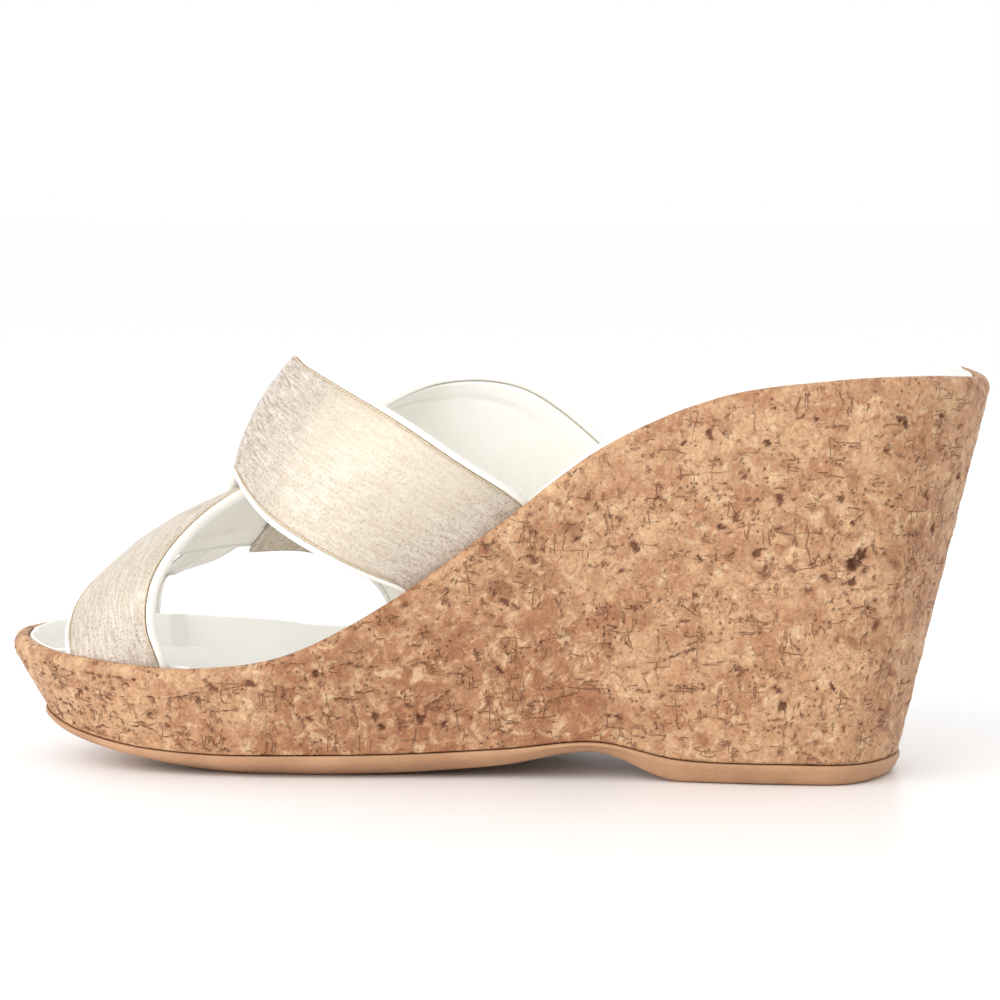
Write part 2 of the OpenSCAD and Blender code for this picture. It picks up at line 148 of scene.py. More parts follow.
TREAD_LINES = [
    ((-105, -10, 10.2), (-105, -10, 10.2)),
    ((-101.5, -17, 8.2), (-102, 1, 8.2)),
    ((-92, -23, 5), (-95, 14, 5)),
    ((-78, -27.5, 1.8), (-82, 26, 1.8)),
    ((-61, -30, 0.2), (-64, 34.5, 0.2)),
    ((-42, -29.5, 0), (-42, 37, 0)),
    ((-19, -27, 0.7), (-18, 35.5, 0.7)),
    ((5, -24.5, 2.8), (5, 32.5, 2.8)),
    ((27, -23, 6.4), (27, 29.5, 6.4)),
    ((46, -23, 0.2), (46, 28.5, 0.2)),
    ((70, -22.5, 0), (70, 27.5, 0)),
    ((87, -18.5, 0), (87, 22.5, 0)),
    ((94, 2, 0), (94, 2, 0)),
]


# ---------------------------------------------------------------- small maths
def mix(a, b, t):
    return a + (b - a) * t


def smooth(a, b, v):
    t = np.clip((v - a) / (b - a), 0, 1)
    return t * t * (3 - 2 * t)


def bump_between(a, b, soft, v):
    return smooth(a - soft, a, v) * (1 - smooth(b, b + soft, v))


def unit(v):
    return v / np.maximum(np.linalg.norm(v, axis=-1, keepdims=True), 1e-9)


def spline(points, steps, closed):
    """Catmull-Rom spline through points, the same as the part's."""
    p = np.array(points, float)
    n = len(p)
    spans = n if closed else n - 1
    out = []
    for i in range(spans):
        if closed:
            a, b, c, d = p[i - 1], p[i], p[(i + 1) % n], p[(i + 2) % n]
        else:
            a, b, c, d = p[max(i - 1, 0)], p[i], p[i + 1], p[min(i + 2, n - 1)]
        last = 0 if closed or i < spans - 1 else 1
        for k in range(steps + last):
            t = k / steps
            out.append(
                0.5
                * (
                    2 * b
                    + (c - a) * t
                    + (2 * a - 5 * b + 4 * c - d) * t * t
                    + (3 * b - a - 3 * c + d) * t**3
                )
            )
    return np.array(out)


def waves(x, y, size, count=14):
    """Smooth random relief between about -1 and 1, with features of about that size."""
    total = np.zeros(np.broadcast(x, y).shape)
    for _ in range(count):
        turn = rng.uniform(0, 2 * math.pi)
        pitch = 2 * math.pi / (size * rng.uniform(0.7, 1.8))
        along = x * math.cos(turn) + y * math.sin(turn)
        total += np.sin(along * pitch + rng.uniform(0, 2 * math.pi))
    return total / math.sqrt(count)


# ---------------------------------------------------------------- the sole's outlines
def outline(lines):
    loop = [a for a, _ in lines] + [b for _, b in lines[-2:0:-1]]
    points = spline(loop, SOLE_STEPS, True)
    points[:, 2] = np.maximum(points[:, 2], 0)
    return points


def moved(loop, inward, up):
    """The outline moved in by a distance and up by a height."""
    n = len(loop)
    along = np.roll(loop, -1, 0) - np.roll(loop, 1, 0)
    square = unit(np.stack([-along[:, 1], along[:, 0], np.zeros(n)], 1))
    across = loop[(n - np.arange(n)) % n] - loop
    width = np.linalg.norm(across[:, :2], axis=1)[:, None]
    way = mix(square, across / np.maximum(width, 1), smooth(30, 90, width))
    out = loop + way * np.broadcast_to(inward, n)[:, None]
    out[:, 2] += up
    return out


rim = outline(RIM_LINES)
joint = outline(JOINT_LINES)
tread = outline(TREAD_LINES)
COUNT = len(rim)
HALF = COUNT // 2
OPPOSITE = (COUNT - np.arange(COUNT)) % COUNT
widest = moved(rim, -RIM_R, -SHOULDER)
DRAWN_AT = -(widest.min(0) + widest.max(0)) / 2 * (1, 1, 0)


def half_sum(x, k):
    outer = rim[OPPOSITE]
    a = np.interp(x, rim[: HALF + 1, 0], rim[: HALF + 1, k])
    b = np.interp(x, outer[: HALF + 1, 0], outer[: HALF + 1, k])
    return (a + b) / 2


depth = mix(CUP_DEPTH, -HEEL_RISE, smooth(-75, 25, rim[:, 0]))
on_inner_side = np.arange(COUNT) < HALF
slot = SLOT_W * np.where(
    on_inner_side,
    bump_between(-101, -71, 5, rim[:, 0]) + bump_between(-20, 15, 5, rim[:, 0]),
    OUTER_TOE_SLOT * bump_between(-109, -92, 4, rim[:, 0]) + bump_between(-39, 26, 5, rim[:, 0]),
)
crown = mix(0.8, HEEL_CROWN, smooth(0, 60, rim[:, 0]))


def cork_wall(down):
    """The outer wall of the cork at a depth below the rim."""
    down = np.broadcast_to(down, COUNT)
    f = np.clip((down - SHOULDER) / (widest[:, 2] - joint[:, 2]), 0, 1)[:, None]
    out = mix(widest, joint, f)
    out[:, 2] = rim[:, 2] - down
    return out


def bed(inward, up, part=0):
    """A ring of the footbed, at a distance in from the cork and a height above its edge."""
    edge = cork_wall(depth - up)
    ring = moved(edge, INNER + slot * (1 - part) + inward, crown * part)
    ring[:, 2] += half_sum(ring[:, 0], 2) - half_sum(edge[:, 0], 2)
    return ring


def wall(inward, down, turn=0):
    """A ring on the turned-up wall of the sock lining."""
    below = down - np.maximum(-depth, 0) + turn * np.clip(depth / 2, 0, 1)
    return moved(cork_wall(below), INNER + slot + inward, 0)


# ---------------------------------------------------------------- making pieces
def piece(name, points, faces, material, replaces, values=None):
    """A mesh piece in the row frame, from points in millimetres. values are point attributes."""
    mesh = bpy.data.meshes.new(name)
    placed = (np.asarray(points, float) + DRAWN_AT) * MM
    mesh.from_pydata(placed.tolist(), [], faces)
    mesh.polygons.foreach_set("use_smooth", [True] * len(mesh.polygons))
    for key, data in (values or {}).items():
        attribute = mesh.attributes.new(key, "FLOAT", "POINT")
        attribute.data.foreach_set("value", np.asarray(data, np.float32).ravel())
    mesh.materials.append(material)
    mesh.update()
    obj = bpy.data.objects.new(name, mesh)
    bpy.context.scene.collection.objects.link(obj)
    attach(obj, "root")
    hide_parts(*replaces)
    return obj


def ring_faces(rings, around, closed):
    """Quads between rings of points, outward where the rings go up and anticlockwise."""
    r = np.arange(rings if closed else rings - 1)[:, None]
    c = np.arange(around)[None, :]
    up = (r + 1) % rings
    nxt = (c + 1) % around
    quads = np.stack(
        [r * around + c, r * around + nxt, up * around + nxt, up * around + c], -1
    )
    return quads.reshape(-1, 4).tolist()


def floor_grid(ring, across, shape):
    """Points inside a ring, across from each point to its opposite; shape(points, t) moves them."""
    t = np.linspace(0, 1, across + 1)[1:-1]
    i = np.arange(1, HALF)
    a, b = ring[i], ring[OPPOSITE[i]]
    points = mix(a[:, None], b[:, None], t[None, :, None])
    return shape(points, t)


def floor_faces(first_ring, first_inner, across, up):
    """Faces that close a ring with the points of floor_grid."""

    def at(i, k):
        if k == 0 or i in (0, HALF):
            return first_ring + i
        if k == across:
            return first_ring + COUNT - i
        return first_inner + (i - 1) * (across - 1) + k - 1

    faces = []
    for i in range(HALF):
        for k in range(across):
            face = [at(i, k), at(i + 1, k), at(i + 1, k + 1), at(i, k + 1)]
            face = list(dict.fromkeys(face))
            if len(face) > 2:
                faces.append(face if up else face[::-1])
    return faces


def loft(name, rings, across, material, replaces, top=None, bottom=None, values=None):
    """A closed solid through rings from the lowest to the highest, with dense end faces."""

    def plain(points, t):
        return points

    stack = np.concatenate(rings)
    low = floor_grid(rings[0], across, bottom or plain).reshape(-1, 3)
    high = floor_grid(rings[-1], across, top or plain).reshape(-1, 3)
    points = np.concatenate([stack, low, high])
    faces = ring_faces(len(rings), COUNT, False)
    faces += floor_faces(0, len(stack), across, False)
    faces += floor_faces((len(rings) - 1) * COUNT, len(stack) + len(low), across, True)
    data = {key: make(points) for key, make in (values or {}).items()}
    return piece(name, points, faces, material, replaces, data)


# ---------------------------------------------------------------- materials
def srgb(r, g, b):
    def linear(v):
        v = v / 255
        return v / 12.92 if v <= 0.04045 else ((v + 0.055) / 1.055) ** 2.4

    return (linear(r), linear(g), linear(b), 1)


class Shader:
    """A node material built in a few words."""

    def __init__(self, name, **values):
        self.mat = bpy.data.materials.new(name)
        self.mat.use_nodes = True
        self.tree = self.mat.node_tree
        self.bsdf = self.tree.nodes["Principled BSDF"]
        self.place = self.new("ShaderNodeTexCoord").outputs["Object"]
        for key, value in values.items():
            self.bsdf.inputs[key.replace("_", " ")].default_value = value

    def new(self, kind, **settings):
        made = self.tree.nodes.new(kind)
        for key, value in settings.items():
            setattr(made, key, value)
        return made

    def link(self, a, b):
        self.tree.links.new(a, b)

    def put(self, socket, value):
        if isinstance(value, bpy.types.NodeSocket):
            self.link(value, socket)
        else:
            socket.default_value = value

    def noise(self, size, detail=3.0, rough=0.5, at=None, distort=0.0):
        """Noise with features of about that many millimetres."""
        made = self.new("ShaderNodeTexNoise")
        self.link(at or self.place, made.inputs["Vector"])
        made.inputs["Scale"].default_value = 1 / (size * MM)
        made.inputs["Detail"].default_value = detail
        made.inputs["Roughness"].default_value = rough
        made.inputs["Distortion"].default_value = distort
        return made.outputs["Fac"]

    def stretched(self, x, y, z):
        made = self.new("ShaderNodeVectorMath", operation="MULTIPLY")
        self.link(self.place, made.inputs[0])
        made.inputs[1].default_value = (x, y, z)
        return made.outputs[0]

    def lines(self, value, half):
        """Thin lines where a noise passes through its middle value."""
        off = self.maths("ABSOLUTE", self.maths("SUBTRACT", value, 0.5))
        return self.between(off, half, 0.0)

    def cells(self, size, at=None, feature="F1"):
        made = self.new("ShaderNodeTexVoronoi", feature=feature)
        self.link(at or self.place, made.inputs["Vector"])
        made.inputs["Scale"].default_value = 1 / (size * MM)
        return made.outputs["Distance"]

    def value(self, name):
        return self.new("ShaderNodeAttribute", attribute_name=name).outputs["Fac"]

    def between(self, value, low, high, to_low=0.0, to_high=1.0):
        made = self.new("ShaderNodeMapRange", interpolation_type="SMOOTHSTEP")
        self.link(value, made.inputs["Value"])
        for key, v in zip(("From Min", "From Max", "To Min", "To Max"), (low, high, to_low, to_high)):
            made.inputs[key].default_value = v
        return made.outputs["Result"]

    def maths(self, how, a, b=0.0):
        made = self.new("ShaderNodeMath", operation=how)
        self.put(made.inputs[0], a)
        self.put(made.inputs[1], b)
        return made.outputs[0]

    def blend(self, share, a, b, how="MIX"):
        made = self.new("ShaderNodeMix", data_type="RGBA", blend_type=how)
        self.put(made.inputs["Factor"], share)
        self.put(made.inputs["A"], a)
        self.put(made.inputs["B"], b)
        return made.outputs["Result"]

    def vector(self, x, y, z=0.0):
        made = self.new("ShaderNodeCombineXYZ")
        for socket, v in zip(made.inputs, (x, y, z)):
            self.put(socket, v)
        return made.outputs[0]

    def colour(self, socket):
        self.link(socket, self.bsdf.inputs["Base Color"])
        return self

    def rough(self, socket):
        self.link(socket, self.bsdf.inputs["Roughness"])
        return self

    def bump(self, *layers):
        """Each layer is (height socket, how many millimetres a height of 1 is)."""
        normal = None
        for height, tall in layers:
            made = self.new("ShaderNodeBump")
            made.inputs["Distance"].default_value = tall * MM
            self.link(height, made.inputs["Height"])
            if normal is not None:
                self.link(normal, made.inputs["Normal"])
            normal = made.outputs["Normal"]
        self.link(normal, self.bsdf.inputs["Normal"])
        return self.mat


def cork_material():
    s = Shader("cork_sheet", IOR=1.45)
    patches = s.noise(11, 5, 0.62, distort=0.6)
    blotches = s.noise(4.2, 6, 0.66, distort=0.8)
    flecks = s.noise(1.9, 5, 0.7, distort=1.4)
    grain = s.noise(0.8, 3, 0.6)
    dots = s.cells(1.5)
    places = s.noise(9, 3, 0.6)
    level = s.lines(s.noise(7, 3, 0.56, at=s.stretched(0.32, 0.32, 1.3)), 0.019)
    upright = s.lines(s.noise(7, 3, 0.56, at=s.stretched(1.3, 1.3, 0.32)), 0.019)
    cracks = s.maths("MAXIMUM", level, upright)
    cracks = s.maths("MULTIPLY", cracks, s.between(s.noise(5, 3, 0.6), 0.5, 0.57))
    tan = s.blend(s.between(patches, 0.36, 0.64), srgb(181, 130, 92), srgb(210, 165, 124))
    tan = s.blend(s.between(blotches, 0.52, 0.72, 0, 0.75), tan, srgb(152, 95, 62))
    tan = s.blend(s.between(blotches, 0.46, 0.34, 0, 0.75), tan, srgb(226, 192, 150))
    tan = s.blend(s.between(flecks, 0.54, 0.68, 0, 0.75), tan, srgb(138, 84, 56))
    tan = s.blend(s.between(flecks, 0.46, 0.34, 0, 0.6), tan, srgb(222, 188, 152))
    # Painted shade: the concave waist of the wall is darkened towards its lower part
    waist = s.maths("MULTIPLY", s.value("waist"), s.between(blotches, 0.4, 0.56, 0.15, 1))
    tan = s.blend(s.between(waist, 0, 1, 0, 0.6), tan, srgb(150, 90, 56))
    speck = s.maths("MULTIPLY", s.between(dots, 0.28, 0.12), s.between(places, 0.5, 0.62))
    tan = s.blend(s.maths("MULTIPLY", speck, 0.75), tan, srgb(122, 72, 46))
    tan = s.blend(s.maths("MULTIPLY", cracks, 0.5), tan, srgb(142, 84, 54))
    # Painted highlight: the raised lips, on one side of each pit and crack, are lightened
    tan = s.blend(s.between(s.value("lip"), 0.1, 0.9, 0, 0.4), tan, srgb(232, 200, 164))
    tan = s.blend(s.between(s.value("stain"), 0.05, 0.9, 0, 0.6), tan, srgb(142, 86, 56))
    # The pits and the gouge darken with their depth: the cork's own darker pores, deepened by painted
    # shade in the hollows
    tan = s.blend(s.between(s.value("pit"), 0.1, 0.9, 0, 0.85), tan, srgb(108, 60, 38))
    shade = s.between(grain, 0.3, 0.7, 0.86, 1.1)
    tan = s.blend(1.0, tan, s.vector(shade, shade, shade), "MULTIPLY")
    s.colour(tan)
    s.rough(s.between(grain, 0.3, 0.7, 0.42, 0.62))
    return s.bump((blotches, 0.5), (flecks, -0.5), (speck, -0.35), (cracks, -0.4), (grain, 0.16))


def rubber_material():
    s = Shader("tan_rubber", IOR=1.5)
    clouds = s.noise(14, 4, 0.55)
    fine = s.noise(0.7, 3, 0.6)
    tan = s.blend(s.between(clouds, 0.35, 0.65), srgb(173, 129, 95), srgb(188, 145, 109))
    shade = s.between(fine, 0.3, 0.7, 0.95, 1.04)
    tan = s.blend(1.0, tan, s.vector(shade, shade, shade), "MULTIPLY")
    tan = s.blend(s.between(s.value("joint_line"), 0.2, 1, 0, 0.4), tan, srgb(130, 86, 58))
    s.colour(tan)
    s.rough(s.between(clouds, 0.3, 0.7, 0.44, 0.56))
    return s.bump((clouds, 0.1), (fine, 0.05))


def leather_material(name, tone):
    s = Shader(name, IOR=1.46)
    pores = s.cells(0.55)
    folds = s.noise(5, 4, 0.6)
    soft = s.noise(26, 2, 0.5)
    r, g, b = tone
    white = s.blend(s.between(soft, 0.35, 0.65), srgb(r - 4, g - 5, b - 7), srgb(r, g, b))
    white = s.blend(s.between(pores, 0.18, 0.0, 0, 0.18), white, srgb(r - 32, g - 36, b - 42))
    s.colour(white)
    s.rough(s.between(folds, 0.3, 0.7, 0.4, 0.54))
    return s.bump((folds, 0.12), (pores, 0.06))


def fabric_material():
    """Champagne fabric: ribs and slubs along the strap, a metallic sheen, a painted sheen in lighter
    golden patches, thread contrast painted stronger where the strap faces up into the light, and a
    spotty print.
    """
    s = Shader("champagne_fabric", Metallic=0.12, Sheen_Weight=0.12, Sheen_Roughness=0.4)
    along = s.value("along")
    across = s.value("across")
    step = s.maths("MULTIPLY", along, 0.16)
    thread = s.noise(0.75, 2, 0.5, at=s.vector(step, across, 0.0))
    step_across = s.maths("MULTIPLY", across, 0.3)
    weft = s.noise(0.8, 2, 0.5, at=s.vector(along, step_across, 0.0))
    slub = s.noise(2.2, 4, 0.6, at=s.vector(step, across, 0.0))
    spots = s.noise(0.62, 3, 0.7)
    clouds = s.noise(14, 3, 0.5)
    ribs_and_painted_contrast = s.value("ribs_and_painted_contrast")
    base = s.blend(s.between(clouds, 0.35, 0.65), srgb(198, 187, 173), srgb(207, 197, 184))
    base = s.blend(s.between(slub, 0.42, 0.64, 0, 0.45), base, srgb(184, 166, 147))
    # Painted light: the dark and light threads get more contrast where the strap faces up into the
    # light; the rib relief below is real
    dark = s.maths("MULTIPLY", s.between(thread, 0.5, 0.36), s.between(ribs_and_painted_contrast, 0, 1, 0.3, 0.85))
    base = s.blend(dark, base, srgb(160, 140, 122))
    light = s.maths("MULTIPLY", s.between(thread, 0.54, 0.7), s.between(ribs_and_painted_contrast, 0, 1, 0.3, 0.9))
    base = s.blend(light, base, srgb(230, 222, 210))
    spotty = s.maths("MULTIPLY", s.between(spots, 0.52, 0.62), s.between(ribs_and_painted_contrast, 0, 1, 0.7, 0.8))
    base = s.blend(spotty, base, srgb(150, 128, 110))
    base = s.blend(s.between(weft, 0.56, 0.72, 0, 0.25), base, srgb(226, 215, 194))
    # Painted sheen: lighter, more golden patches where the strap catches the light
    base = s.blend(s.between(s.value("golden"), 0, 1, 0, 0.5), base, srgb(224, 211, 187))
    s.colour(base)
    s.rough(s.between(thread, 0.3, 0.7, 0.52, 0.36))
    weave = s.maths("MULTIPLY", thread, s.between(ribs_and_painted_contrast, 0, 1, 0.45, 1.2))
    return s.bump((slub, 0.2), (weave, 0.25), (weft, 0.12), (spots, 0.08))


def piping_material():
    s = Shader("golden_piping", Metallic=0.3, Roughness=0.45)
    twist = s.noise(0.5, 2, 0.5)
    tint = s.blend(s.between(twist, 0.35, 0.65), srgb(196, 174, 144), srgb(220, 204, 178))
    s.colour(tint)
    return s.bump((twist, 0.12))


def plain_material(name, low, high, size, roughness, metallic=0.0, relief=0.1):
    """A material of the pieces inside, with two tones and a fine relief."""
    s = Shader(name, Metallic=metallic)
    grain = s.noise(size, 4, 0.6)
    s.colour(s.blend(s.between(grain, 0.35, 0.65), srgb(*low), srgb(*high)))
    s.rough(s.between(grain, 0.3, 0.7, roughness - 0.06, roughness + 0.06))
    return s.bump((grain, relief))


cork_mat = cork_material()
rubber_mat = rubber_material()
lining_mat = leather_material("white_lining", (246, 244, 238))
sock_mat = leather_material("white_footbed", (247, 246, 242))
edge_mat = leather_material("white_edge", (243, 241, 236))
fabric_mat = fabric_material()
piping_mat = piping_material()
foam_mat = plain_material("soft_foam", (226, 214, 188), (240, 231, 208), 1.1, 0.85, relief=0.3)


# ---------------------------------------------------------------- cork cover
def relief(shape, s, z, features):
    """Adds up pits, cracks and lips over a wall. s and z are distances along and up it."""
    sunk = np.zeros(shape)
    raised = np.zeros(shape)
    wobble = waves(s, z, 3.2, 10) * 0.45
    tilt = waves(s, z, 1.6, 10) * 0.3
    around = s.shape[1]
    for c, z0, length, wide, turn, deep, lip in features:
        reach = int((length + 4) / WALL_STEP)
        cols = (np.arange(c - reach, c + reach) % around)[None, :]
        row = int(np.abs(z[:, c] - z0).argmin())
        low = max(row - reach * 2, 0)
        rows = np.arange(low, min(row + reach * 2, shape[0]))[:, None]
        ds = s[rows, cols] - s[row, c]
        total = s[row, -1]
        ds = (ds + total / 2) % total - total / 2
        dz = z[rows, cols] - z0
        u = ds * math.cos(turn) + dz * math.sin(turn) + wobble[rows, cols]
        v = -ds * math.sin(turn) + dz * math.cos(turn) + tilt[rows, cols] + wobble[rows, cols] * 0.6
        far = np.sqrt((u / length) ** 2 + (v / wide) ** 2)
        sunk[rows, cols] = np.maximum(sunk[rows, cols], deep * smooth(1.0, 0.35, far))
        beside = np.exp(-(((far - 1.35) / 0.3) ** 2)) * (v > 0)
        raised[rows, cols] = np.maximum(raised[rows, cols], lip * beside)
    return sunk, raised


def cork_features(outer, rows):
    """Pits, cracks and one gouge: (column, height, half length, half width, turn, depth, lip)."""
    z = outer[:, :, 2]
    around = z.shape[1]
    heel = int(np.abs(outer[rows // 2, :HALF, 0] - GOUGE_X).argmin())
    found = [(heel, GOUGE_Z, *GOUGE_SHAPE)]
    tall = z[rows - 1] - z[0]
    chance = tall / tall.sum()

    def spot(low=0.04, high=0.96):
        c = int(rng.choice(around, p=chance))
        return c, mix(z[0, c], z[rows - 1, c], rng.uniform(low, high))

    centres = [spot() for _ in range(CLUSTERS)]
    for _ in range(SMALL_PITS):
        c, z0 = centres[rng.integers(len(centres))]
        c = int(c + rng.normal(0, 16)) % around
        z0 = float(np.clip(z0 + rng.normal(0, 6), z[0, c] + 1, z[rows - 1, c]))
        r = rng.uniform(0.35, 0.8)
        turn = rng.uniform(0, math.pi)
        found.append((c, z0, r * rng.uniform(1, 1.9), r, turn, rng.uniform(0.2, 0.55), 0.05))
    for _ in range(CRACKS):
        c, z0 = spot()
        level = rng.random() < 0.5
        turn = rng.normal(0 if level else math.pi / 2, 0.12)
        half = rng.uniform(1.5, 6 if level else 5)
        found.append((c, z0, half, rng.uniform(0.28, 0.45), turn, rng.uniform(0.25, 0.5), 0.16))
    for _ in range(LARGE_PITS):
        c, z0 = spot()
        r = rng.uniform(0.7, 1.3)
        found.append((c, z0, r * rng.uniform(1, 1.6), r, rng.uniform(0, 3), rng.uniform(0.5, 0.9), 0.12))
    return found


def make_cork():
    wall_rows = 128
    share = np.linspace(1, 0, wall_rows)[:, None, None]
    side = mix(widest[None], joint[None], share)
    roll = [
        moved(rim, -RIM_R * math.cos(a), -SHOULDER * (1 - math.sin(a)))
        for a in np.linspace(0, math.pi / 2, 9)[1:]
    ]
    ledge = np.minimum(
        depth - CORE_DOWN + SLOT_DEPTH, rim[:, 2] - joint[:, 2] - RIM_R - 2 * SOFTEN
    )
    within = [
        moved(rim, CORK_T - SOFTEN, -SOFTEN / 8),
        moved(rim, CORK_T - SOFTEN / 4, -SOFTEN / 3),
        moved(rim, CORK_T, -SOFTEN),
        moved(cork_wall(SHOULDER), RIM_R + CORK_T, 0),
        moved(cork_wall(ledge), RIM_R + CORK_T, 0),
        moved(cork_wall(ledge + RIM_R), CORK_T, 0),
        moved(joint, CORK_T, 0),
    ]
    outer = np.concatenate([side, roll])
    steps = np.linalg.norm(np.roll(outer, -1, 1) - outer, axis=2)
    s = np.concatenate([np.zeros((len(outer), 1)), np.cumsum(steps, 1)[:, :-1]], 1)
    z = outer[:, :, 2]
    sunk, raised = relief(z.shape, s, z, cork_features(outer, wall_rows))
    uneven = waves(s, z, 9, 16) * 0.1 + waves(s, z, 2.4, 16) * 0.045
    fade = np.ones(len(outer))
    fade[:3] = (0, 0.4, 0.8)
    fade[wall_rows:] = np.linspace(1, 0.15, len(roll))
    out = (uneven + raised - sunk) * fade[:, None]
    along = np.roll(outer, -1, 1) - np.roll(outer, 1, 1)
    up = np.gradient(outer, axis=0)
    normal = unit(np.cross(along, up))
    shaped = outer + normal * out[:, :, None]
    rings = np.concatenate([shaped, within])
    # Where the painted shade of the concave waist lies, fading out upwards
    waist = bump_between(-40, 22, 26, outer[:, :, 0]) * smooth(62, 30, z) * 0.9
    hollow = np.zeros((len(within), COUNT))
    stain = waves(s, z, 7, 12)
    values = {
        # The depth of the pits, which sets their darker colour and painted shade
        "pit": np.concatenate([sunk / 0.6 * fade[:, None], hollow]),
        # The raised lips, which get a painted highlight
        "lip": np.concatenate([raised / 0.22, hollow]),
        "waist": np.concatenate([waist, hollow]),
        "stain": np.concatenate([smooth(0.9, 2.0, stain), hollow]),
    }
    points = rings.reshape(-1, 3)
    faces = ring_faces(len(rings), COUNT, True)
    return piece("cork_cover_shaped", points, faces, cork_mat, ["cork_cover"], values)


# ---------------------------------------------------------------- outsole
def tread_pattern(points, t):
    """Shallow wavy ribs across the tread, clear of its edge."""
    x, y = points[:, :, 0], points[:, :, 1]
    ribs = smooth(-0.2, 0.5, np.sin(x * 2 * math.pi / 5.2 + 0.9 * np.sin(y * 2 * math.pi / 22)))
    width = np.abs(points[:, -1, 1] - points[:, 0, 1])[:, None]
    from_edge = np.minimum(t, 1 - t)[None, :] * width
    ends = bump_between(tread[:, 0].min() + 7, tread[:, 0].max() - 6, 2, x)
    waist = 1 - bump_between(8, 40, 4, x)
    points[:, :, 2] += 0.7 * ribs * smooth(3.0, 4.0, from_edge) * ends * waist
    return points


def make_outsole():
    belly = (tread[:, 2] - joint[:, 2]) * 0.45
    low = tread
    high = moved(joint, 0, belly)
    rings = [moved(low, 1.0, 0), moved(low, 0.4, 0.08), moved(low, 0, 0.35)]
    for f in np.linspace(0.12, 1, 9):
        ring = mix(low, high, f)
        rings.append(moved(ring, -0.35 * math.sin(math.pi * f), 0))
    rings += [
        moved(joint, -0.75 * SOLE_LIP, -0.75 * (-belly).clip(0, 3)),
        moved(joint, -SOLE_LIP, -1.3),
        moved(joint, -SOLE_LIP, -0.75),
        moved(joint, -0.8 * SOLE_LIP, -0.42),
        moved(joint, -0.4 * SOLE_LIP, -2 * FIT),
    ]
    line = [0.0] * (len(rings) - 2) + [0.25, 1.0]

    def joint_line(points):
        data = np.zeros(len(points))
        for r, v in enumerate(line):
            data[r * COUNT : (r + 1) * COUNT] = v
        return data

    return loft(
        "outsole_shaped", rings, 44, rubber_mat, ["outsole"],
        bottom=tread_pattern, values={"joint_line": joint_line},
    )


# ---------------------------------------------------------------- footbed
def make_footbed():
    proud = np.where(on_inner_side, 0, bump_between(-113, 10, 5, rim[:, 0]))
    proud = proud * LINING_PROUD * (1 + 0.6 * slot / SLOT_W)
    top_down = LINING_DOWN - proud
    rings = [
        bed(PAD_IN - SOFTEN, -SOCK_T + 3 * FIT),
        bed(PAD_IN - 3 * SOFTEN, -SOCK_T),
        bed(0, -SOCK_T),
        wall(0, top_down + SOFTEN),
        wall(SOCK_T / 4, top_down + SOFTEN / 5),
        wall(SOCK_T / 2, top_down),
        wall(0.8 * SOCK_T, top_down, SOFTEN / 4),
        wall(SOCK_T, top_down, SOFTEN),
    ]
    cup = np.clip(depth / CUP_DEPTH, 0, 1)
    for f in (0.3, 0.55, 0.75, 0.9):
        top = wall(SOCK_T, top_down, SOFTEN)
        foot = bed(SOCK_T + 1.4, FIT)
        ring = mix(top, foot, f)
        ring[:, 2] -= 0.8 * cup * math.sin(math.pi * f)
        rings.append(ring)
    for f in np.linspace(0, 1, 12):
        inward = mix(SOCK_T + 1.6, CROWN_IN, f)
        rise = smooth(0, 1, f)
        ring = bed(inward, FIT * (1 - f), rise)
        groove = math.exp(-(((inward - 4.4) / 0.55) ** 2))
        ring[:, 2] -= 0.4 * groove
        rings.append(ring)

    def pillow(points, t):
        soft = np.sin(math.pi * t)[None, :] ** 0.6
        points[:, :, 2] += 0.35 * soft + 0.05 * waves(points[:, :, 0], points[:, :, 1], 9)
        return points

    return loft(
        "sock_lining_shaped", rings, 40, sock_mat, ["sock_lining"], top=pillow
    )


def make_inside():
    foam = [bed(BOARD_IN, BOARD_DOWN + FIT), bed(BOARD_IN, FOAM_DOWN)]
    soft = loft("footbed_foam_shaped", foam, 24, foam_mat, ["footbed_foam"])
    pad = [
        bed(PAD_IN, FOAM_DOWN + FIT),
        bed(PAD_IN, FOAM_DOWN + 3 * FIT),
        bed(PAD_OUT, FOAM_DOWN + 3 * FIT, PAD_PART),
        bed(CROWN_IN, FOAM_DOWN + 3 * FIT, 1),
    ]
    pad = loft("comfort_pad_shaped", pad, 24, foam_mat, ["comfort_pad"])


# ---------------------------------------------------------------- straps
def foot(side, x, down):
    """A strap's edge at the sole, beside the footbed."""
    loop = moved(cork_wall(down), INNER + FIT, 0)
    if side:
        loop = loop[OPPOSITE]
    loop = loop[: HALF + 1]
    return (x, np.interp(x, loop[:, 0], loop[:, 1]), np.interp(x, loop[:, 0], loop[:, 2]))


def feet(side, a, b, down):
    return (foot(side, a, down), foot(side, b, down))


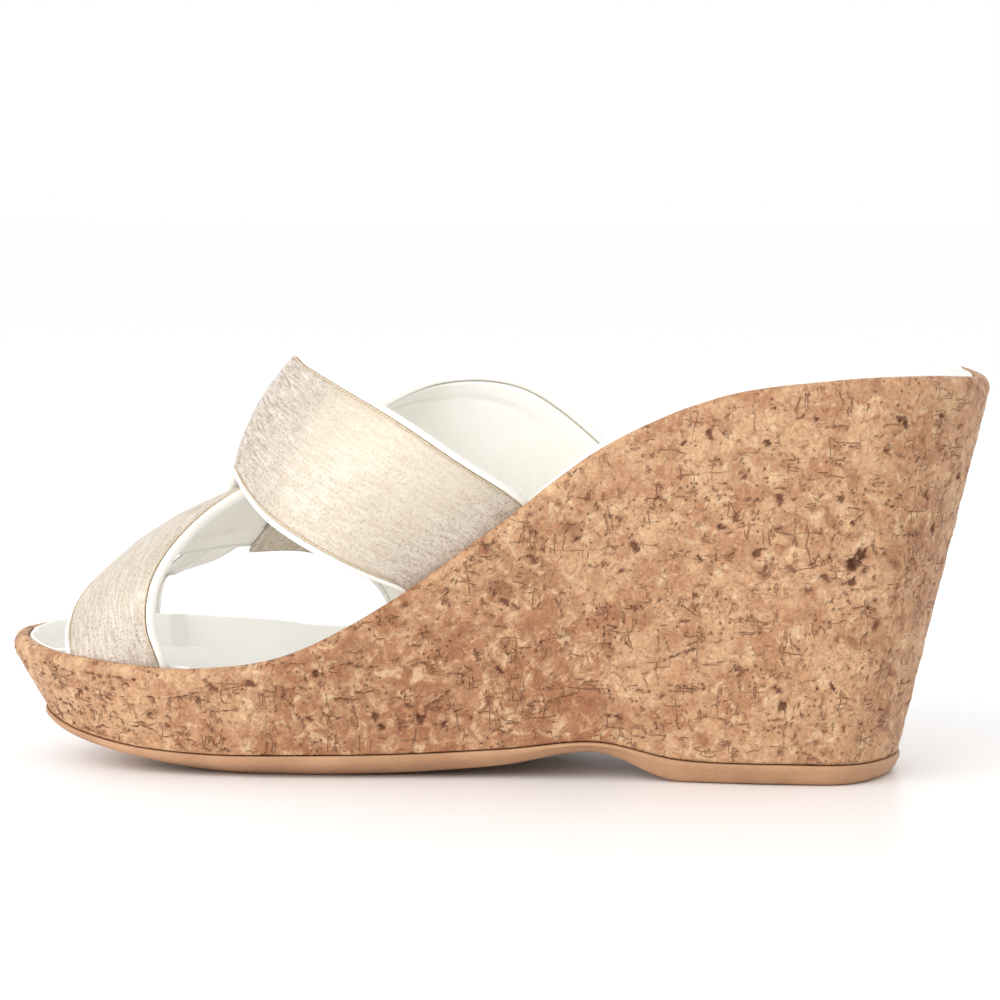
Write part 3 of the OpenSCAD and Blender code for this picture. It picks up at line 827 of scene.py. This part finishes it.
END_DOWN = 5.5
FRONT_LINES = [
    feet(0, -99, -73, END_DOWN),
    feet(0, -100, -73.5, 0),
    ((-102, -24.5, 33), (-76.4, -38.2, 36)),
    ((-101.5, -17, 38.5), (-76, -35, 46.5)),
    ((-98.5, -8, 43.5), (-72, -24, 56)),
    ((-93, 2, 48), (-65, -7, 64)),
    ((-84, 15, 48.5), (-49, 7, 73)),
    ((-71, 28, 49), (-34, 18, 86)),
    ((-56, 38, 47.2), (-19, 29, 92)),
    ((-42, 43.5, 38.5), (2, 34, 89.5)),
    feet(1, -36, 23, 0),
    feet(1, -36, 23, END_DOWN),
]
REAR_LINES = [
    feet(0, -17, 12, END_DOWN),
    feet(0, -17.5, 12, 0),
    ((-30, -36, 49.8), (-2, -33, 76)),
    ((-42, -34, 55.5), (-18, -31, 86)),
    ((-52, -27, 60.5), (-34, -20, 93)),
    ((-60, -15, 65), (-45, -8, 97)),
    ((-66, -2, 68.5), (-51, 4, 98.5)),
    ((-69.5, 10, 67), (-53.5, 15, 91)),
    ((-74.5, 21, 62), (-57, 26.5, 79)),
    ((-81, 29.5, 54.5), (-62.5, 35, 65)),
    ((-89, 32.5, 46.8), (-71, 39.5, 52.5)),
    ((-97, 30, 40), (-81, 41.5, 45.5)),
    ((-104.5, 22, 34.8), (-93.5, 37, 40.5)),
    feet(1, -107, -95, 0),
    feet(1, -106, -95, END_DOWN),
]


class Strap:
    """The curved strip between two edge lines, as in the part but with many more rows."""

    def __init__(self, lines, first_crown, last_crown):
        self.edges = [spline([line[k] for line in lines], STRAP_STEPS, False) for k in (0, 1)]
        self.rows = len(self.edges[0])
        self.width = np.linalg.norm(self.edges[1] - self.edges[0], axis=1)
        last = self.rows - 1
        i = np.arange(self.rows)
        before = np.maximum(i - STRAP_STEPS // 3, 0)
        after = np.minimum(i + STRAP_STEPS // 3, last)
        self.ways = [edge[after] - edge[before] for edge in self.edges]
        step = STRAP_STEPS
        rise = mix(first_crown, STRAP_CROWN, smooth(step, 4 * step, i))
        self.bulge = mix(rise, last_crown, smooth(last - 4 * step, last - step, i))
        middle = (self.edges[0] + self.edges[1]) / 2
        steps = np.linalg.norm(np.diff(middle, axis=0), axis=1)
        self.along = np.concatenate([[0], np.cumsum(steps)])

    def at(self, t, off):
        """Points t across the strap, off out from its outer face. Both may be grids."""
        t = np.broadcast_to(t, (self.rows, np.shape(t)[-1]))[:, :, None]
        off = np.broadcast_to(off, t.shape[:2])[:, :, None]
        a, b = self.edges[0][:, None], self.edges[1][:, None]
        way = mix(self.ways[0][:, None], self.ways[1][:, None], t)
        out = unit(np.cross(np.broadcast_to(b - a, way.shape), way))
        return mix(a, b, t) + out * (off + self.bulge[:, None, None] * 4 * t * (1 - t))

    def spread(self, margin, faces):
        """Shares across the strap, leaving a margin along both edges."""
        m = (margin / self.width)[:, None]
        return mix(m, 1 - m, np.linspace(0, 1, faces + 1)[None, :])


front_strap = Strap(FRONT_LINES, 0.8, 0.6)
rear_strap = Strap(REAR_LINES, 0, 1)


def sheet_faces(rows, cols):
    """Faces of a closed sheet of two grids of points, the outer one first."""
    n = rows * cols
    i = np.arange(rows - 1)[:, None]
    j = np.arange(cols - 1)[None, :]
    a = i * cols + j
    outer = np.stack([a, a + cols, a + cols + 1, a + 1], -1).reshape(-1, 4)
    under = outer[:, ::-1] + n
    i = np.arange(rows - 1)
    first, last = i * cols, i * cols + cols - 1
    left = np.stack([first + cols, first, first + n, first + cols + n], -1)
    right = np.stack([last, last + cols, last + cols + n, last + n], -1)
    j = np.arange(cols - 1)
    base = (rows - 1) * cols + j
    front = np.stack([j, j + 1, j + 1 + n, j + n], -1)
    back = np.stack([base + 1, base, base + n, base + 1 + n], -1)
    return np.concatenate([outer, under, left, right, front, back]).tolist()


def make_sheet(name, strap, t, outer, under, material, replaces, values=None):
    points = np.concatenate([strap.at(t, outer).reshape(-1, 3), strap.at(t, under).reshape(-1, 3)])
    faces = sheet_faces(strap.rows, np.shape(t)[-1])
    both = {key: np.concatenate([v.ravel(), v.ravel()]) for key, v in (values or {}).items()}
    return piece(name, points, faces, material, replaces, both)


def declare_cloth(strap, t):
    """Works out the points of a strap's layer at its outer face, and does nothing more with them."""
    points = strap.at(t, 0)


def edge_tubes(name, strap, from_edge, off, a, b, material, replaces, rows, wrinkle=0.0):
    """Tubes along both edges of a strap, closed at their ends."""
    sides = 20
    q = -2 * math.pi * np.arange(sides) / sides
    points = []
    faces = []
    for side in (0, 1):
        m = from_edge / strap.width
        t = (m if side == 0 else 1 - m)[:, None]
        centre = strap.at(t, off)[:, 0]
        across = unit(strap.edges[1] - strap.edges[0])
        out = unit(np.cross(strap.edges[1] - strap.edges[0], strap.ways[side]))
        x = np.cos(q)[None, :, None]
        y = np.sin(q)[None, :, None]
        swell = 1 + wrinkle * waves(strap.along, strap.along * 0, 2.5, 9)[:, None, None]
        tube = centre[:, None] + (across[:, None] * a * x + out[:, None] * b * y) * swell
        tube = tube[rows[0] : rows[1]]
        start = len(points)
        points.extend(tube.reshape(-1, 3))
        faces += (np.array(ring_faces(len(tube), sides, False))[:, ::-1] + start).tolist()
        faces.append(list(range(start, start + sides)))
        end = start + (len(tube) - 1) * sides
        faces.append(list(range(end + sides - 1, end - 1, -1)))
    return piece(name, points, faces, material, replaces)


def make_strap(name, strap, ribs_and_painted_contrast, golden):
    padding_at = -FABRIC_T - BOND
    lining_at = padding_at - PADDING_T - BOND
    t = strap.spread(EDGE_W, 56)
    from_edge = np.minimum(t, 1 - t) * strap.width[:, None]
    along = np.broadcast_to(strap.along[:, None], t.shape)
    across = (t - 0.5) * strap.width[:, None]
    tuck = -0.28 * np.exp(-(((from_edge - EDGE_W) / 0.9) ** 2))
    uneven = 0.06 * waves(along, across, 7, 12) * smooth(EDGE_W, EDGE_W + 2, from_edge)
    values = {
        "along": along * MM,
        "across": across * MM,
        "ribs_and_painted_contrast": ribs_and_painted_contrast(along / strap.along[-1]),
        "golden": golden(along / strap.along[-1], t),
    }
    node = name + "_strap_"
    foam = make_sheet(
        node + "foam_shaped", strap, t, padding_at, padding_at - PADDING_T,
        foam_mat, [node + "foam"],
    )
    cloth = make_sheet(
        node + "fabric_shaped", strap, t, tuck + uneven, -FABRIC_T + 0 * t,
        fabric_mat, [node + "fabric"], values,
    )
    declare_cloth(strap, t)
    crease = np.exp(-(((from_edge - 7.5) / 0.4) ** 2)) * 0.45
    border = 0.3 * smooth(7.5, 6.6, from_edge)
    lining = make_sheet(
        node + "lining_shaped", strap, t, lining_at + 0 * t, lining_at - LINING_T + crease - border,
        lining_mat, [node + "lining"],
    )
    declare_cloth(strap, t)
    every = (0, strap.rows)
    edge_tubes(
        node + "edges_shaped", strap, EDGE_W / 2, -STRAP_T / 2, EDGE_W / 2 - BOND, STRAP_T / 2,
        edge_mat, [node + "edges"], every, wrinkle=0.012,
    )
    shown = (STRAP_STEPS + STRAP_STEPS // 3, strap.rows - STRAP_STEPS)
    edge_tubes(
        node + "piping_shaped", strap, EDGE_W + 0.05, -PIPING_R * 0.35, PIPING_R * 0.5, PIPING_R * 0.5,
        piping_mat, [node + "piping"], shown,
    )


def make_tab():
    """The fabric tab that ties the straps together at their crossing."""
    first, last = 7 * STRAP_STEPS, 8 * STRAP_STEPS + STRAP_STEPS // 3
    t = np.linspace(0, TAB_REACH, 24)[None, :]
    outer = front_strap.at(t, -STRAP_T - 3 * FIT)[first:last]
    under = front_strap.at(t, -STRAP_T - 3 * FIT - TAB_T)[first:last]
    rows, cols = outer.shape[:2]
    points = np.concatenate([outer.reshape(-1, 3), under.reshape(-1, 3)])
    along = np.broadcast_to(front_strap.along[first:last, None], (rows, cols)).ravel() * MM
    across = np.broadcast_to(t * TAB_SPAN, (rows, cols)).ravel() * MM
    # One even level of rib relief, painted thread contrast and painted sheen over the whole tab
    level = np.full(2 * rows * cols, 0.35)
    values = {
        "along": np.concatenate([across, across]),
        "across": np.concatenate([along, along]),
        "ribs_and_painted_contrast": level,
        "golden": level,
    }
    tab = piece(
        "crossing_tab_shaped", points, sheet_faces(rows, cols), fabric_mat,
        ["crossing_tab"], values,
    )


# Rib relief and painted thread contrast, even along the front strap
def front_ribs_and_painted_contrast(u):
    return 0.25 + 0 * u


# A band of painted sheen partway along the front strap
def front_painted_sheen(u, t):
    return 0.35 * bump_between(0.15, 0.3, 0.1, u) + 0 * t


# More rib relief and more painted thread contrast from partway along the rear strap, where its upper
# part faces up into the light
def rear_ribs_and_painted_contrast(u):
    return smooth(0.3, 0.44, u)


# A band of painted sheen partway along the rear strap, stronger towards one edge
def rear_painted_sheen(u, t):
    return bump_between(0.12, 0.26, 0.09, u) * (0.55 + 0.45 * smooth(0.3, 0.9, t))


make_cork()
make_outsole()
make_footbed()
make_inside()
make_strap("front", front_strap, front_ribs_and_painted_contrast, front_painted_sheen)
make_strap("rear", rear_strap, rear_ribs_and_painted_contrast, rear_painted_sheen)
make_tab()


# ---------------------------------------------------------------- pieces inside the sole
def dress(node, material):
    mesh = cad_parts[node].data
    mesh.materials.clear()
    mesh.materials.append(material)


core_mat = plain_material("pressed_cork", (150, 108, 72), (196, 152, 108), 2.2, 0.8, relief=0.4)
board_mat = plain_material("fibre_board", (150, 122, 92), (178, 150, 118), 0.6, 0.75, relief=0.1)
steel_mat = plain_material("shank_steel", (150, 152, 156), (186, 188, 192), 0.9, 0.32, 1.0, 0.04)
brass_mat = plain_material("rivet_brass", (178, 138, 66), (214, 176, 98), 0.7, 0.35, 1.0, 0.04)
dress("wedge_core", core_mat)
dress("insole_board", board_mat)
dress("steel_shank", steel_mat)
dress("heel_nails", steel_mat)
dress("shank_rivets", brass_mat)


# ---------------------------------------------------------------- floor, light and camera
def make_floor():
    size = FLOOR_HALF
    mesh = bpy.data.meshes.new("floor")
    corners = [(-size, -size, 0), (size, -size, 0), (size, size, 0), (-size, size, 0)]
    mesh.from_pydata(corners, [], [(0, 1, 2, 3)])
    s = Shader("white_floor", Roughness=0.34, IOR=1.36)
    s.bsdf.inputs["Base Color"].default_value = (0.99, 0.99, 0.99, 1)
    mesh.materials.append(s.mat)
    floor = bpy.data.objects.new("floor", mesh)
    bpy.context.scene.collection.objects.link(floor)


def make_light(name, place, size, power):
    data = bpy.data.lights.new(name, "AREA")
    data.shape = "RECTANGLE"
    data.size, data.size_y = size
    data.energy = power
    light = bpy.data.objects.new(name, data)
    bpy.context.scene.collection.objects.link(light)
    light.location = place
    way = np.array(LAMP_TARGET, float) - np.array(place, float)
    flat = math.hypot(way[0], way[1])
    light.rotation_euler = (math.atan2(flat, -way[2]), 0, math.atan2(-way[0], way[1]))


def make_world():
    world = bpy.data.worlds.new("studio")
    world.use_nodes = True
    back = world.node_tree.nodes["Background"]
    back.inputs["Color"].default_value = (1, 1, 1, 1)
    back.inputs["Strength"].default_value = 1.0
    bpy.context.scene.world = world


def make_camera():
    """Level with the straps, a little towards the heel, from the sandal's inner side."""
    data = bpy.data.cameras.new("camera")
    data.lens = 135
    data.sensor_width = 36
    camera = bpy.data.objects.new("camera", data)
    across = CAMERA_AWAY * math.sin(CAMERA_TURN)
    spot = np.array([across, -CAMERA_AWAY * math.cos(CAMERA_TURN), CAMERA_UP])
    camera.location = (spot + DRAWN_AT) * MM
    camera.rotation_euler = (math.pi / 2 - CAMERA_DOWN, 0, CAMERA_TURN)
    bpy.context.scene.collection.objects.link(camera)
    bpy.context.scene.camera = camera


bpy.context.scene.view_settings.view_transform = "Standard"
make_floor()
make_world()
for lamp in LAMPS:
    make_light(*lamp)
make_camera()
